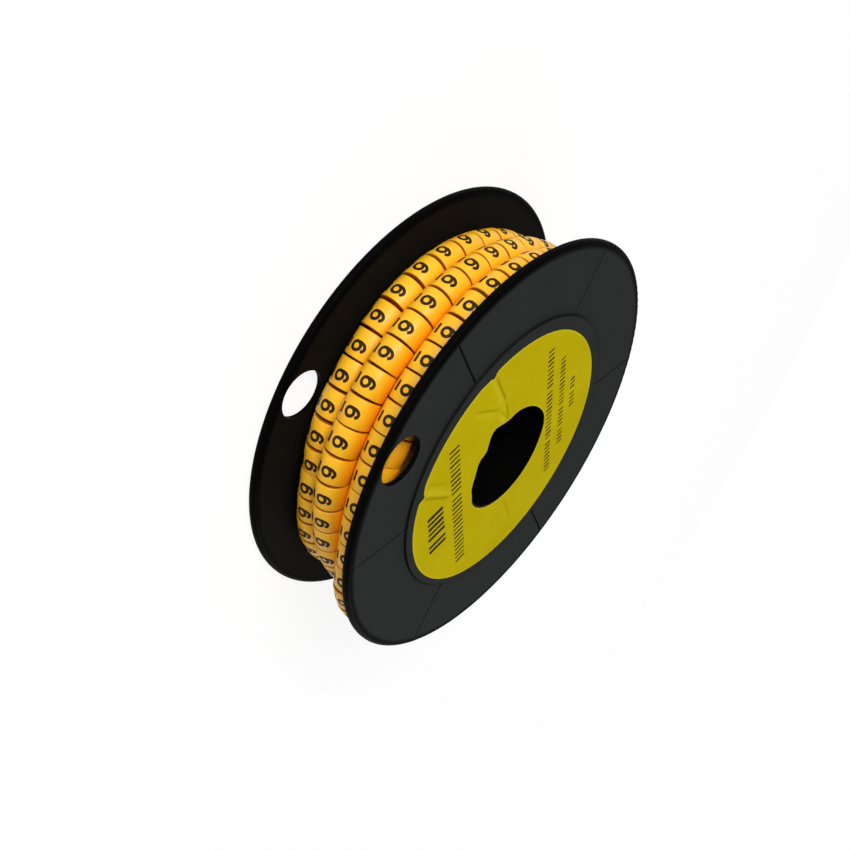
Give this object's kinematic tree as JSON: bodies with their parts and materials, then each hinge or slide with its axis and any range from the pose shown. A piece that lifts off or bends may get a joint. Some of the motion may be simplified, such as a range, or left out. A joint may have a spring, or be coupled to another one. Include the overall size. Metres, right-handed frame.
{
  "type": "reel of cable markers",
  "caption": "Black moulded reel wound with a strip of linked orange-yellow cable marker sleeves that are pulled off one by one, with a ring label on the front flange.",
  "frame": {"origin": "centre of the back flange's outer face, which is the foot that the reel lies on", "axes": "+Z is the reel's axis from the back flange to the labelled front flange, and the round hole of each flange is on the -X side"},
  "size_m": [0.092, 0.092, 0.0264],
  "materials": {
    "spool": "satin moulded black plastic",
    "marker_strip": "soft glossy vinyl with dark print",
    "label": "creased yellow film label"
  },
  "bodies": {
    "root": {"spool": "spool", "marker_strip": "marker_strip", "label": "label"}
  },
  "joints": []
}
